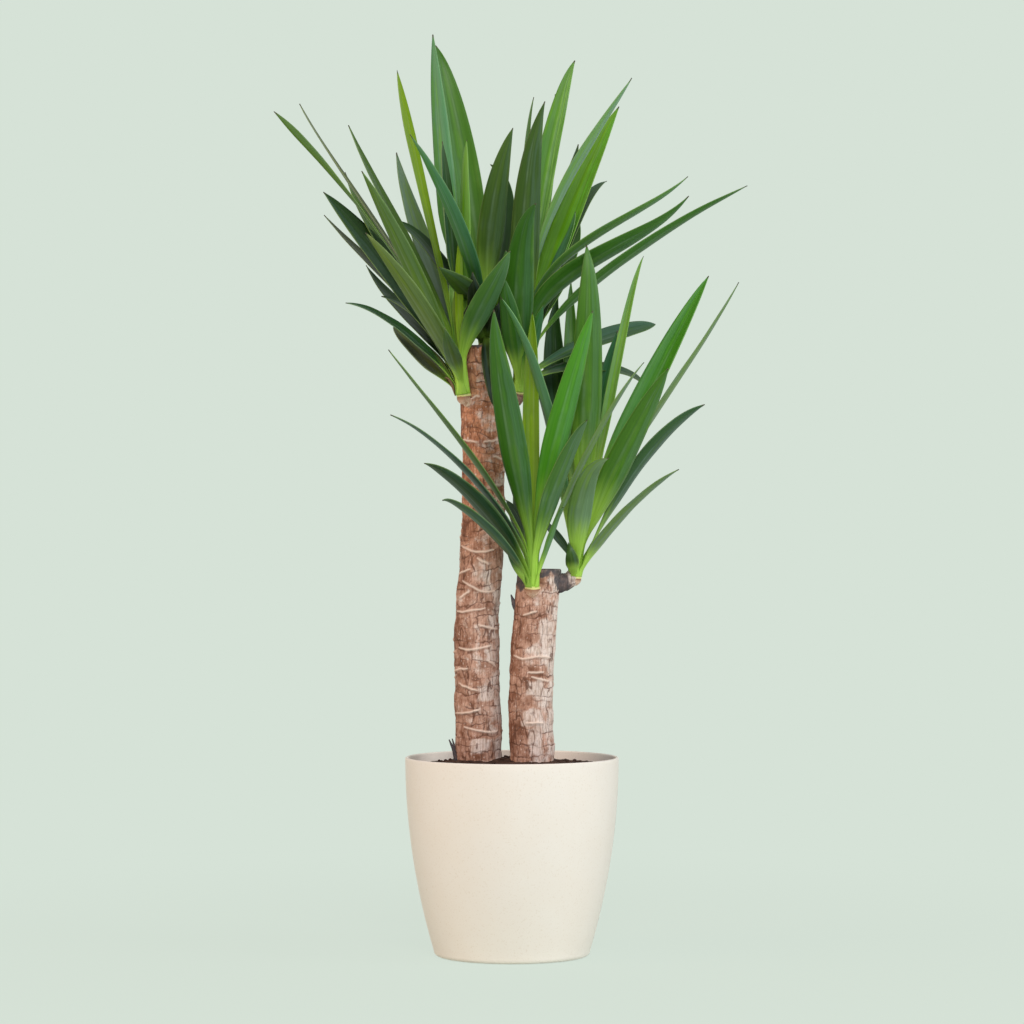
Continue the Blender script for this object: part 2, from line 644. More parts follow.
def stem_material():
    """Green above the foot, a pale and a brown ring at it, and bark on the heel below."""
    sizes = settings().leaf

    def build(tree):
        rise = point_value(tree, "rise")
        place = object_coordinates(tree)
        streaks = noise_value(tree, stretched(tree, place, (900.0, 900.0, 60.0)), 1.0, 2.0)
        upper = linear(104, 160, 52)
        green = mixed(tree, stepped(tree, rise, 14.0, 60.0), sizes.base_colour, upper)
        dark = tinted(tree, green, (0.72, 0.80, 0.62))
        base = mixed(tree, stepped(tree, streaks, 0.58, 0.40), green, dark)
        base = mixed(tree, stepped(tree, rise, 4.0, 2.0), base, linear(224, 220, 148))
        base = mixed(tree, stepped(tree, rise, 0.6, -0.2), base, linear(150, 104, 76))
        brown, pale = linear(214, 172, 148), linear(240, 208, 186)
        heel = mixed(tree, stepped(tree, streaks, 0.4, 0.6), brown, pale)
        colour = mixed(tree, stepped(tree, rise, -0.4, -1.4), base, heel)
        return colour, None, bumped(tree, streaks, 0.25, 0.0004)

    return finish_material("green_stem", build, 0.45, 0.4)


def leaf_material(name):
    """Blade finish: veins and stripes along it, pale edges, a yellow-green neck, a dry tip."""
    sizes = settings().leaf
    tone = LEAF_TONES[name]
    dry = name == "dry"

    def build(tree):
        on_blade = add_node(tree, "ShaderNodeUVMap").outputs[0]
        spot = add_node(tree, "ShaderNodeSeparateXYZ", {0: on_blade})
        across, along = spot.outputs[0], spot.outputs[1]
        place = object_coordinates(tree)
        drift = noise_value(tree, place, 22.0, 2.0)
        lane = add_node(
            tree, "ShaderNodeCombineXYZ",
            {0: times(tree, across, 26.0), 1: times(tree, along, 2.4), 2: times(tree, drift, 3.0)},
        ).outputs[0]
        veins = noise_value(tree, lane, 1.0, 1.0)
        bands = noise_value(tree, stretched(tree, lane, (0.22, 0.5, 0.5)), 1.0, 1.0)
        mottle = noise_value(tree, place, 55.0, 3.0)
        shade = tinted(tree, tone, (0.66, 0.72, 0.62))
        light = mixed(tree, 0.16, tone, (0.55, 0.72, 0.36))
        other = HALF_TONES.get(name) or tuple(value * 0.84 for value in tone)
        halves = mixed(tree, stepped(tree, across, 0.44, 0.54), tone, other)
        colour = mixed(tree, stepped(tree, veins, 0.30, 0.70), shade, halves)
        colour = mixed(tree, stepped(tree, bands, 0.48, 0.75), colour, light, 0.45)
        colour = mixed(tree, stepped(tree, mottle, 0.62, 0.40), colour, shade, 0.35)
        stripes = noise_value(tree, stretched(tree, lane, (0.17, 0.32, 0.8)), 1.0, 1.0)
        warm = tinted(tree, colour, (1.04, 1.10, 0.40))
        colour = mixed(tree, stepped(tree, stripes, 0.50, 0.62), colour, warm, 0.75)
        sheen = mixed(tree, 0.09, colour, (0.22, 0.36, 0.38))
        colour = mixed(tree, stepped(tree, stripes, 0.48, 0.36), colour, sheen, 0.8)
        off_middle = off_centre(tree, across)
        colour = mixed(tree, stepped(tree, off_middle, 0.05, 0.0), colour, light, 0.15)
        if not dry:
            edge = stepped(tree, off_middle, 0.474, 0.499)
            colour = mixed(tree, edge, colour, sizes.edge_colour, 0.28)
            base = mixed(tree, NECK_SHADES.get(name, 0.08), sizes.base_colour, tone)
            streaked = tinted(tree, base, (0.78, 0.84, 0.62))
            base = mixed(tree, stepped(tree, veins, 0.42, 0.62), streaked, base)
            colour = mixed(tree, point_value(tree, "base"), colour, base)
        tip = stepped(tree, along, 0.978, 0.996)
        colour = mixed(tree, tip, colour, sizes.tip_colour)
        rough = plus(tree, times(tree, mottle, 0.16), 0.6 if dry else 0.34)
        return colour, rough, bumped(tree, veins, 0.1, 0.0003)

    return finish_material("leaf_" + name, build, 0.42, 0.28)


# ---------------------------------------------------------------- shaping helpers

def smooth_step(value):
    value = min(max(value, 0.0), 1.0)
    return value * value * (3.0 - 2.0 * value)


def blended(value, low, high):
    """Smooth share from 0 at low to 1 at high."""
    return smooth_step((value - low) / (high - low))


def half_turned(degrees):
    """The same turn from -180 up to 180 degrees."""
    return (degrees + 180.0) % 360.0 - 180.0


def smooth_line(points, share):
    """Point on a smooth line through rows of numbers, at share 0 the first and at 1 the last."""
    last = len(points) - 1
    place = min(max(share, 0.0), 1.0) * last
    index = min(int(place), last - 1)
    t = place - index
    rows = [points[min(max(index + step, 0), last)] for step in (-1, 0, 1, 2)]
    before, start, end, after = (np.array(row, float) for row in rows)
    return 0.5 * (
        2 * start + (end - before) * t + (2 * before - 5 * start + 4 * end - after) * t ** 2
        + (3 * start - before - 3 * end + after) * t ** 3
    )


def finish_piece(name, mesh, material, replaced=None):
    """Give a mesh its object, finish and place on the frame, and the node that it stands for."""
    mesh.materials.append(material)
    piece = bpy.data.objects.new(name, mesh)
    bpy.context.scene.collection.objects.link(piece)
    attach(piece, "root")
    if replaced:
        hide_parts(replaced)
    return piece


def mesh_from(shape, name, smooth=True):
    mesh = bpy.data.meshes.new(name)
    shape.to_mesh(mesh)
    shape.free()
    if smooth:
        mesh.shade_smooth()
    return mesh


def closed_mesh(shape, name, merge):
    """Merge points less than merge metres apart, close open ends and turn the faces outwards."""
    bmesh.ops.remove_doubles(shape, verts=shape.verts, dist=merge)
    ends = [edge for edge in shape.edges if edge.is_boundary]
    if ends:
        bmesh.ops.holes_fill(shape, edges=ends)
    bmesh.ops.recalc_face_normals(shape, faces=shape.faces)
    return mesh_from(shape, name)


def new_grid(across, along):
    """A grid from -1 to 1 each way, with its UV map from 0 to 1."""
    shape = bmesh.new()
    shape.loops.layers.uv.new("UVMap")
    bmesh.ops.create_grid(shape, x_segments=across, y_segments=along, size=1.0, calc_uvs=True)
    return shape


def turned_mesh(name, profile, steps):
    """Closed shell turned from (radius, height) rows in metres that start and end on the axis."""
    shape = bmesh.new()
    points = [shape.verts.new((radius, 0.0, height)) for radius, height in profile]
    edges = [shape.edges.new(pair) for pair in zip(points, points[1:])]
    bmesh.ops.spin(
        shape, geom=points + edges, cent=(0, 0, 0), axis=(0, 0, 1), dvec=(0, 0, 0),
        angle=math.tau, steps=steps, use_merge=True, use_duplicate=False)
    return closed_mesh(shape, name, 0.00001)


def tube_mesh(name, sides, rings, place):
    """Closed tube: place(turn, share) gives a point on it and the values of its own attributes."""
    shape = new_grid(sides, rings)
    layers = {key: shape.verts.layers.float.new(key) for key in place(0.0, 0.5)[1]}
    for vertex in shape.verts:
        turn = (vertex.co.x + 1.0) / 2.0
        vertex.co, values = place(turn if turn < 0.9999 else 0.0, (vertex.co.y + 1.0) / 2.0)
        for key, value in values.items():
            vertex[layers[key]] = value
    return closed_mesh(shape, name, 0.000005)


def tube_point(points, share, turn, thicken, end):
    """Point in metres on a bent tube of (x, y, z, radius) rows in mm.

    thicken(radius) gives the radius there, and end is the share that the rounded end takes.
    """
    straight = 1.0 - end
    along = min(share / straight, 1.0)
    here = smooth_line(points, along)
    ahead = smooth_line(points, min(along + 0.01, 1.0))
    behind = smooth_line(points, max(along - 0.01, 0.0))
    tangent = Vector(ahead[:3] - behind[:3]).normalized()
    first = tangent.cross(Vector((0.0, 1.0, 0.0))).normalized()
    second = tangent.cross(first)
    radius = thicken(here[3])
    if share > straight:
        radius *= math.sqrt(max(1.0 - ((share - straight) / end) ** 2, 0.0))
    angle = turn * math.tau
    return (Vector(here[:3]) + (first * math.cos(angle) + second * math.sin(angle)) * radius) * MM


# ---------------------------------------------------------------- planter and soil

def pot_radius(height):
    """Outer radius of the planter: straight at the rim, leaning in towards the foot."""
    sizes = settings().planter
    return sizes.rim_radius - sizes.lean * (1.0 - height / sizes.height) ** 2


def planter_profile():
    """Radius and height rows from the middle of the floor up, over the rim and down to the foot."""
    sizes = settings().planter
    half = sizes.wall / 2
    rim_level = sizes.height - half
    profile = [(0.0, sizes.floor), (FLOOR_RING, sizes.floor)]
    for ring in range(WALL_RINGS + 1):
        z = sizes.floor + (rim_level - sizes.floor) * ring / WALL_RINGS
        profile.append((pot_radius(z) - sizes.wall, z))
    middle = pot_radius(rim_level) - half
    for ring in range(1, RIM_STEPS):
        turn = math.pi * ring / RIM_STEPS
        profile.append((middle - half * math.cos(turn), rim_level + half * math.sin(turn)))
    for ring in range(WALL_RINGS + 1):
        z = rim_level + (sizes.foot_round - rim_level) * ring / WALL_RINGS
        profile.append((pot_radius(z), z))
    centre = pot_radius(sizes.foot_round) - sizes.foot_round
    for ring in range(1, FOOT_STEPS + 1):
        turn = math.pi / 2 * ring / FOOT_STEPS
        profile.append((
            centre + sizes.foot_round * math.cos(turn),
            sizes.foot_round * (1.0 - math.sin(turn))))
    return profile + [(FLOOR_RING, 0.0), (0.0, 0.0)]


def cane_gaps(x, y):
    """Distances in metres from x, y to both canes where they stand in the soil."""
    gaps = []
    for cane in CANES.values():
        centre_x, centre_y, _, radius = cane.points[1]
        gaps.append(math.hypot(x - centre_x * MM, y - centre_y * MM) - radius * MM)
    return gaps


def soil_level(x, y):
    """Height of the soil's surface at x, y in metres: lumpy, and mounded round each cane."""
    sizes = settings().soil
    reach = math.hypot(x, y)
    level = sizes.middle_level + (sizes.edge_level - sizes.middle_level) * blended(reach, 0.05, 0.1)
    for gap in cane_gaps(x, y):
        level += sizes.mound * (1.0 - blended(gap, 0.0, 0.022))
    spot = Vector((x, y, 0.0))
    lumps = noise.noise(spot * 95.0) * 0.0011 + noise.noise(spot * 230.0) * 0.0009
    return level + lumps * (1.0 - blended(reach, 0.0985, 0.1015))


def soil_mesh():
    """The top of the soil, closed below out of sight; it stands just clear of the planter."""
    level = settings().soil.edge_level
    inset = settings().planter.wall + SOIL_GAP
    edge = pot_radius(level) - inset
    profile = [(edge * ring / SOIL_RINGS, level) for ring in range(SOIL_RINGS + 1)]
    profile += [(pot_radius(SOIL_BOTTOM) - inset, SOIL_BOTTOM), (0.0, SOIL_BOTTOM)]
    mesh = turned_mesh("soil_surface", profile, SOIL_SIDES)
    for vertex in mesh.vertices:
        if vertex.co.z > (SOIL_BOTTOM + level) / 2:
            vertex.co.z = soil_level(vertex.co.x, vertex.co.y)
    return mesh


def add_crumb(shape, place, size, dice):
    """One lump of bark or peat: a squashed, knocked-about ball."""
    made = bmesh.ops.create_icosphere(shape, subdivisions=1, radius=size)
    stretch = Vector((dice.uniform(0.7, 1.5), dice.uniform(0.6, 1.1), dice.uniform(0.45, 0.8)))
    turn = dice.uniform(0.0, math.tau)
    for vertex in made["verts"]:
        co = vertex.co * dice.uniform(0.8, 1.15)
        co = Vector((co.x * stretch.x, co.y * stretch.y, co.z * stretch.z))
        x = co.x * math.cos(turn) - co.y * math.sin(turn)
        y = co.x * math.sin(turn) + co.y * math.cos(turn)
        vertex.co = place + Vector((x, y, co.z))


def crumb_mesh():
    """Loose crumbs over the soil, none of them in a cane."""
    dice = random.Random(7)
    shape = bmesh.new()
    made = 0
    while made < settings().soil.crumbs:
        reach = 0.098 * math.sqrt(dice.random())
        turn = dice.uniform(0.0, math.tau)
        x, y = reach * math.cos(turn), reach * math.sin(turn)
        if min(cane_gaps(x, y)) < 0.002:
            continue
        size = dice.uniform(0.0009, 0.0026)
        add_crumb(shape, Vector((x, y, soil_level(x, y) + size * 0.2)), size, dice)
        made += 1
    return mesh_from(shape, "soil_crumbs")


# ---------------------------------------------------------------- canes

def back_scars(low, high, seed):
    """Leaf scars for the sides and the back of a cane, in the same form as those on the front."""
    dice = random.Random(seed)
    scars = []
    level = low + 6
    while level < high - 8:
        middle = dice.uniform(105, 255)
        half = dice.uniform(18, 42)
        drop = dice.uniform(2, 6)
        scars.append([(middle - half, level + dice.uniform(0, drop)), (middle, level - drop / 2),
                      (middle + half, level + dice.uniform(0, drop))])
        level += dice.uniform(9, 17)
    return scars


def scar_field(scars, heights, sides, radius):
    """Share of leaf scar over a cane's skin: a row for each height, a column for each side."""
    field = np.zeros((len(heights), sides))
    columns = np.arange(sides) * 360.0 / sides
    arc = math.radians(radius)
    full_width = settings().cane.scar_width * 1000.0
    shares = np.linspace(0.0, 1.0, SCAR_STEPS + 1)
    for number, scar in enumerate(scars):
        line = np.array([smooth_line(scar, share) for share in shares])
        for index in range(len(line)):
            line[index, 1] += noise.noise(Vector((index * 0.7, number * 3.1, radius)))
        for index, (start, end) in enumerate(zip(line, line[1:])):
            rows = np.nonzero(np.abs(heights - start[1]) < SCAR_REACH)[0]
            around = half_turned(columns - start[0])[None, :] * arc
            up = heights[rows][:, None] - start[1]
            dx, dz = (end[0] - start[0]) * arc, end[1] - start[1]
            share = np.clip((around * dx + up * dz) / (dx * dx + dz * dz), 0.0, 1.0)
            bulge = np.sqrt(np.sin(math.pi * (index + share) / SCAR_STEPS).clip(0.0))
            width = full_width * (0.45 + 0.55 * bulge)
            gap = np.hypot(around - dx * share, up - dz * share)
            field[rows] = np.maximum(field[rows], np.exp(-(gap / width) ** 2))
    return field


def bark_bands(low, high, seed):
    """Heights of the ring cracks up a cane, and the number and phase of the cracks between."""
    dice = random.Random(seed)
    levels, bands = [low], []
    while levels[-1] < high:
        levels.append(levels[-1] + dice.uniform(5.0, 14.0))
        bands.append((dice.randint(9, 15), dice.random()))
    return levels, bands


def plate_cracks(bands, level, round_share, radius, seed):
    """Ring crack and upright crack strength at a point of the bark, and its plate's own number."""
    levels, rows = bands
    index = min(max(bisect.bisect(levels, level) - 1, 0), len(rows) - 1)
    count, phase = rows[index]
    near = index if level - levels[index] < levels[index + 1] - level else index + 1
    ring = abs(level - levels[near])
    place = (round_share + phase) * count
    cell = math.floor(place)
    gaps = []
    for edge in (cell, cell + 1):
        jitter = 0.3 * noise.cell(Vector((edge % count + 0.5, index + 0.5, seed)))
        gaps.append(edge + jitter - place)
    if gaps[0] > 0.0:
        cell -= 1
    elif gaps[1] < 0.0:
        cell += 1
    edge = cell if abs(gaps[0]) < abs(gaps[1]) else cell + 1
    upright = min(abs(gap) for gap in gaps) * math.tau * radius / count
    force = 0.25 + 0.75 * abs(noise.cell(Vector((edge % count + 0.5, index + 0.5, seed + 9.0))))
    own = noise.cell(Vector((cell % count + 0.5, index + 0.5, seed + 31.0)))
    return near, ring, upright, force, own


def weathered(plates, degrees, height):
    """Share of pale weathered bark from the table of plates."""
    turned = half_turned(degrees)
    most = 0.0
    for start, end, low, high in plates:
        inside = blended(turned, start - 6.0, start + 3.0) * blended(height, low - 1.6, low + 1.2)
        inside *= 1.0 - blended(turned, end - 3.0, end + 6.0)
        inside *= 1.0 - blended(height, high - 1.2, high + 1.6)
        most = max(most, inside)
    return most


def bark_relief(spot, degrees, scar, under, cane, bands):
    """Offset in mm, and the scar, crack, pale and dark shares, at a point of a cane's skin."""
    sizes = settings().cane
    seed, radius = cane.seed, spot[3]
    turn = math.radians(degrees)
    here = Vector((math.sin(turn) * radius, math.cos(turn) * radius, spot[2]))
    here += Vector((seed, 0, 0))
    sway = noise.noise_vector(here * 0.05) * 5.5 + noise.noise_vector(here * 0.17) * 2.2
    sway += noise.noise_vector(here * 0.5) * 0.6
    near, ring, upright, force, own = plate_cracks(
        bands, spot[2] + sway.z, degrees / 360.0 + sway.x / (math.tau * radius), radius, seed)
    ring_force = blended(noise.noise(here * 0.07 + Vector((0, 0, near * 7.3))), -0.35, 0.25)
    crack = (1.0 - blended(ring, 0.1, 0.9)) * (0.12 + 0.88 * ring_force)
    crack = max(crack, (1.0 - blended(upright, 0.1, 0.85)) * blended(force, 0.4, 0.85))
    hair = abs(noise.noise(Vector((here.x * 0.36, here.y * 0.36, here.z * 0.15)) + sway * 0.12))
    crack = max(crack, (1.0 - blended(hair, 0.0, 0.06)) * 0.5)
    worn = weathered(cane.plates, degrees + sway.y * 2.4, spot[2] + sway.x * 0.9)
    side = math.sin(turn) * cane.pale_side
    drift = noise.noise(here * 0.045) * 0.8 + noise.noise(here * 0.13) * 0.7
    drift += noise.noise(here * 0.4) * 0.3
    pale = max(blended(own * 0.35 + side * 1.3 + drift, 0.0, 0.95) * 0.9, worn * 0.75)
    dark = blended(-own * 0.35 - side * 1.1 - drift, 0.0, 0.95) * 0.9 * (1.0 - worn)
    crack *= 1.0 - 0.5 * worn
    lumps = noise.noise(here * 0.05) * 1.1 + noise.noise(here * 0.17) * 0.45
    offset = lumps * sizes.lump_height * 1000.0 + noise.noise(here * 0.6) * 0.12
    offset += (own * 0.25 - crack) * sizes.crack_depth * 1000.0
    offset += scar * sizes.scar_height * 1000.0
    crack = max(crack, under) * (1.0 - scar) * 0.95
    return offset, {"scar": scar * 0.9, "crack": crack, "pale": pale, "dark": dark}


def cane_rows(bottom, soil_line, top, step):
    """Heights of a cane's rings: a few in the soil, and close together above it."""
    buried = [bottom + (soil_line - bottom) * ring / 6 for ring in range(6)]
    rings = round((top - soil_line) / step)
    return buried + [soil_line + (top - soil_line) * ring / rings for ring in range(rings + 1)]


def seal_depth(depths, degrees):
    """How far the wax comes down the bark at degrees round from the front."""
    return float(np.interp(half_turned(degrees), *zip(*depths)))


def cane_mesh(name, cane, sides, step):
    """A cane's skin with its sawn top, and its scar, crack, pale, dark and seal attributes."""
    bottom, top = cane.points[0][2], cane.points[-1][2]
    heights = cane_rows(bottom, FINE_FROM, top, step)
    last = len(heights) - 1
    rows = last + CAP_RINGS
    table = np.array([smooth_line(cane.points, share) for share in np.linspace(0.0, 1.0, 400)])
    scars = cane.scars + back_scars(SCARS_FROM, top - 10, cane.seed)
    bands = bark_bands(CRACKS_FROM, top + 4.0, cane.seed)
    field = scar_field(scars, np.array(heights), sides, cane.points[1][3])
    under = np.roll(field, -max(round(2.0 / step), 1), axis=0) * 0.4
    shape = new_grid(sides, rows)
    keys = ("scar", "crack", "pale", "dark", "seal")
    layers = {key: shape.verts.layers.float.new(key) for key in keys}
    for vertex in shape.verts:
        column = round((vertex.co.x + 1.0) / 2.0 * sides) % sides
        row = round((vertex.co.y + 1.0) / 2.0 * rows)
        level = min(row, last)
        height = heights[level]
        spot = [np.interp(height, table[:, 2], table[:, axis]) for axis in (0, 1)]
        spot += [height, np.interp(height, table[:, 2], table[:, 3])]
        degrees = 360.0 * column / sides
        turn = math.radians(degrees)
        offset, values = bark_relief(
            spot, degrees, field[level, column], under[level, column], cane, bands)
        below = top - height
        speck = Vector((math.sin(turn) * 4.0, math.cos(turn) * 4.0, height * 0.17 + cane.seed))
        ragged = noise.noise(speck) * 5.0 + noise.noise(speck * 3.1) * 2.2
        deep = seal_depth(cane.seal, degrees)
        thin = 0.88 + 0.4 * noise.noise(speck * 1.7)
        values["seal"] = min(thin, 0.94) * (1.0 - blended(below + ragged, deep - 1.6, deep + 1.6))
        radius = spot[3] + offset - 0.8 * (1.0 - blended(below, 0.0, 1.6))
        if height < PLAIN_UP_TO:
            radius = spot[3] - 0.6
        cap = row - last
        if cap > 0:
            radius *= 1.0 - cap / CAP_RINGS
            on_top = Vector((math.sin(turn) * radius, math.cos(turn) * radius, 3.0))
            rough = noise.noise(on_top * 0.4)
            height -= 0.5 + 0.5 * abs(rough) + 0.6 * (1.0 - blended(cap, 0, 3))
            values = {"scar": 0.0, "crack": 0.4 * abs(rough), "pale": 0.3, "dark": 0.0, "seal": 1.0}
        vertex.co = Vector((
            spot[0] + radius * math.sin(turn), spot[1] - radius * math.cos(turn), height)) * MM
        for key, value in values.items():
            vertex[layers[key]] = value
    return closed_mesh(shape, name, 0.000002)


def stub_mesh(name, points, waxed, seed):
    """A short woody stub or twig with a rounded end; waxed is how dark and sealed it is."""

    def place(turn, share):
        angle = turn * math.tau
        spot = Vector((math.cos(angle) * 2.0, math.sin(angle) * 2.0, share * 9.0 + seed))
        rough = noise.noise(spot)
        knobs = 1.0 + rough * 0.11 + noise.noise(spot * 2.7) * 0.05
        point = tube_point(points, share, turn, lambda radius: radius * knobs, STUB_END)
        crack = 1.0 - blended(abs(noise.noise(spot * 1.9)), 0.0, 0.10)
        bare = blended(share + 0.2 * rough, 0.55, 0.72) if waxed == 1.0 else 0.0
        seal = waxed * (0.88 + 0.25 * rough) * (1.0 - 0.8 * bare)
        pale = 0.2 + 0.7 * bare
        return point, {"scar": 0.0, "crack": crack * 0.6, "pale": pale, "dark": 0.3, "seal": seal}

    return tube_mesh(name, STUB_SIDES, STUB_RINGS, place)


# ---------------------------------------------------------------- shoots and leaves

def stem_radius(shoot, rise):
    return STEM_FOOT_RADIUS + (STEM_TOP_RADIUS - STEM_FOOT_RADIUS) * rise / shoot.length


def stem_point(shoot, rise):
    return Vector(shoot.foot) + Vector(shoot.direction).normalized() * rise


def stem_mesh(name, shoot):
    """A green stem: a short heel in the bark, a ring at its foot, and a core for the leaves."""
    foot, root = stem_point(shoot, 0.0), Vector(shoot.root)
    heel = root.lerp(foot, 0.45)
    rows = [(heel, 4.4, -9.0), (heel.lerp(foot, 0.6), 5.6, -4.0)]
    for rise, radius in ((-1.2, 6.9), (0.2, 7.2), (1.6, 7.4), (3.2, 6.6), (6.0, 5.2)):
        rows.append((stem_point(shoot, rise), radius, rise))
    for share in (0.3, 0.65, 1.0):
        rise = shoot.length * share
        rows.append((stem_point(shoot, rise), min(stem_radius(shoot, rise), 5.0), rise))
    points = [(*centre, radius, rise) for centre, radius, rise in rows]

    def place(turn, share):
        ripple = 0.2 * math.sin(share * 62.0 + math.sin(turn * math.tau * 2.0))
        point = tube_point(points, share, turn, lambda radius: radius + ripple, STEM_END)
        return point, {"rise": smooth_line(points, min(share / (1.0 - STEM_END), 1.0))[4]}

    return tube_mesh(name, STEM_SIDES, STEM_RINGS, place)


def leaf_line(shoot, leaf, start):
    """Cubic centre line from the stem through the leaf's middle to its tip."""
    axis = Vector(shoot.direction).normalized()
    across = Vector(leaf.middle) - Vector(shoot.foot)
    outwards = (across - axis * across.dot(axis)).normalized()
    base = stem_point(shoot, leaf.rise) + outwards * (stem_radius(shoot, leaf.rise) + LEAF_SEAT)
    common_lean = LEAF_LOW_LEAN + (LEAF_TOP_LEAN - LEAF_LOW_LEAN) * leaf.rise / shoot.length
    lean, pace = start or (common_lean, LEAF_START_SPEED)
    lean = math.radians(lean)
    onwards = axis * math.cos(lean) + outwards * math.sin(lean)
    to_middle = Vector(leaf.middle) - base
    to_tip = Vector(leaf.tip) - base
    length = to_middle.length + (to_tip - to_middle).length
    at_middle = to_middle.length / length
    speed = onwards * pace * length
    rest = to_tip - speed
    third = ((to_middle - speed * at_middle) / at_middle ** 2 - rest) / (at_middle - 1.0)
    return outwards, base, speed, rest - third, third


def leaf_section(line, face, twist, t):
    """Centre, width direction and inner-side direction of a blade at t along its line."""
    outwards, base, speed, second, third = line
    centre = base + speed * t + second * t ** 2 + third * t ** 3
    tangent = (speed + second * 2 * t + third * 3 * t ** 2).normalized()
    front = Vector((0.0, -1.0, 0.0))
    facing = (front - tangent * front.dot(tangent)).normalized()
    quarter = tangent.cross(facing)
    start_face = math.degrees(math.atan2(-outwards.dot(quarter), -outwards.dot(facing)))
    turned = start_face + half_turned(face - start_face) * smooth_step(t / LEAF_TURN_END)
    angle = math.radians(turned + twist * blended(t, 0.5, 0.95))
    inner = facing * math.cos(angle) + quarter * math.sin(angle)
    return centre, tangent.cross(inner), inner


def blade_width(t, neck, widest):
    """Share of the full width: clasping foot, narrow neck, widest part, long point."""
    if t < widest:
        return neck + (1.0 - neck) * blended(t, 0.03, widest)
    fall = (t - widest) / (1.0 - widest)
    return max(1.0 - fall ** 1.95, 0.02)


def leaf_rows(shoot, leaf, above, neck_rows, twist, start):
    """Rows along a leaf up to its tip: centre, side, inner side, t and clasp radius.

    Its base runs up the stem from the shoot's foot as a ribbon, over the bases of the leaves
    above, with t below 0.
    """
    line = leaf_line(shoot, leaf, start)
    axis, outwards = Vector(shoot.direction).normalized(), line[0]
    inner = (axis * axis.dot(outwards) - outwards).normalized()
    clasp = stem_radius(shoot, leaf.rise) + LEAF_SEAT
    foot_clasp = FOOT_CLASP + CLASP_STEP * above
    rows = []
    for number in range(neck_rows):
        share = number / neck_rows
        radius = foot_clasp + (clasp - foot_clasp) * share
        rise = FOOT_RISE + (leaf.rise - FOOT_RISE) * share
        spot = stem_point(shoot, rise) - inner * radius
        rows.append([spot, axis.cross(inner), inner, share - 1.0, radius])
    for number in range(BLADE_ROWS + 1):
        t = number / BLADE_ROWS
        rows.append([*leaf_section(line, leaf.face, twist, t), t, clasp])
    for _ in range(3 if neck_rows else 0):
        spots = [entry[0] for entry in rows]
        for number in range(max(neck_rows - 4, 1), neck_rows + 5):
            rows[number][0] = (spots[number - 1] + spots[number] * 2.0 + spots[number + 1]) / 4.0
    return rows


def leaf_mesh(name, shoot, leaf, above, seed):
    """A blade on its cubic line: a ribbon clasping the stem at its base and guttered beyond."""
    sizes = settings().leaf
    dry = leaf.tone == "dry"
    widest, twist, greenness = LEAF_FORMS.get(name, COMMON_FORM)
    entries = leaf_rows(shoot, leaf, above, 0 if dry else NECK_ROWS, twist, LEAF_STARTS.get(name))
    reach = [leaf.rise if dry else 0.0]
    for entry, before in zip(entries[1:], entries):
        reach.append(reach[-1] + (entry[0] - before[0]).length)
    green = (shoot.green_reach + 1.6 * leaf.rise) * greenness
    shape = new_grid(BLADE_COLUMNS, len(entries) - 1)
    base = shape.verts.layers.float.new("base")
    ribbon = min(sizes.ribbon * 1000.0, leaf.width * 0.3)
    neck_half = leaf.width * sizes.neck_share / 2.0
    for vertex in shape.verts:
        across = vertex.co.x
        number = round((vertex.co.y + 1.0) / 2.0 * (len(entries) - 1))
        centre, side, inner, t, clasp = entries[number]
        streak = noise.noise(Vector((across * 2.6, seed * 3.7, 0.0))) * 0.2
        vertex[base] = 1.0 - blended(reach[number] / green + streak, 0.5, 1.2)
        half = leaf.width * blade_width(max(t, 0.0), sizes.neck_share, widest) / 2.0
        if t < 0.0:
            half = neck_half + (ribbon - neck_half) * smooth_step(-t)
        clasping = math.asin(min(half / clasp, 0.95))
        bend = clasping + (sizes.gutter - clasping) * blended(t, 0.0, 0.2)
        bend *= 1.0 - 0.45 * blended(t, 0.5, 1.0)
        shift = half * math.sin(across * bend) / math.sin(bend)
        depth = half * (1.0 - math.cos(across * bend)) / math.sin(bend)
        wave = noise.noise(Vector((t * 7.0, across * 0.8, seed * 5.3))) * sizes.ripple * 1000.0
        wave *= abs(across) * blended(t, 0.1, 0.4)
        vertex.co = (centre + side * shift + inner * (depth + wave)) * MM
    return mesh_from(shape, name)


def make_leaf(name, shoot, leaf, above, seed, material, replaced=None):
    mesh = leaf_mesh(name, shoot, leaf, above, seed)
    piece = finish_piece(name, mesh, material, replaced)
    skin = piece.modifiers.new("thickness", "SOLIDIFY")
    skin.thickness = settings().leaf.thickness
    skin.offset = 0.0


# ---------------------------------------------------------------- stage

def aim(thing, place, target):
    thing.location = place
    thing.rotation_euler = (Vector(target) - Vector(place)).to_track_quat("-Z", "Y").to_euler()
    bpy.context.scene.collection.objects.link(thing)


def add_lamp(name, place, size, power, colour):
    """A square soft lamp, aimed at the plant."""
    light = bpy.data.lights.new(name, "AREA")
    light.shape = "SQUARE"
    light.size = size
    light.energy = power
    light.color = colour
    aim(bpy.data.objects.new(name, light), place, LAMP_AIM)


def seen_share(tree):
    """1 on rays that the camera, a gloss or a clear piece sends out to see the backdrop."""
    path = add_node(tree, "ShaderNodeLightPath")
    seen = maths(tree, "ADD", path.outputs["Is Camera Ray"], path.outputs["Is Glossy Ray"], True)
    return maths(tree, "ADD", seen, path.outputs["Is Transmission Ray"], True)


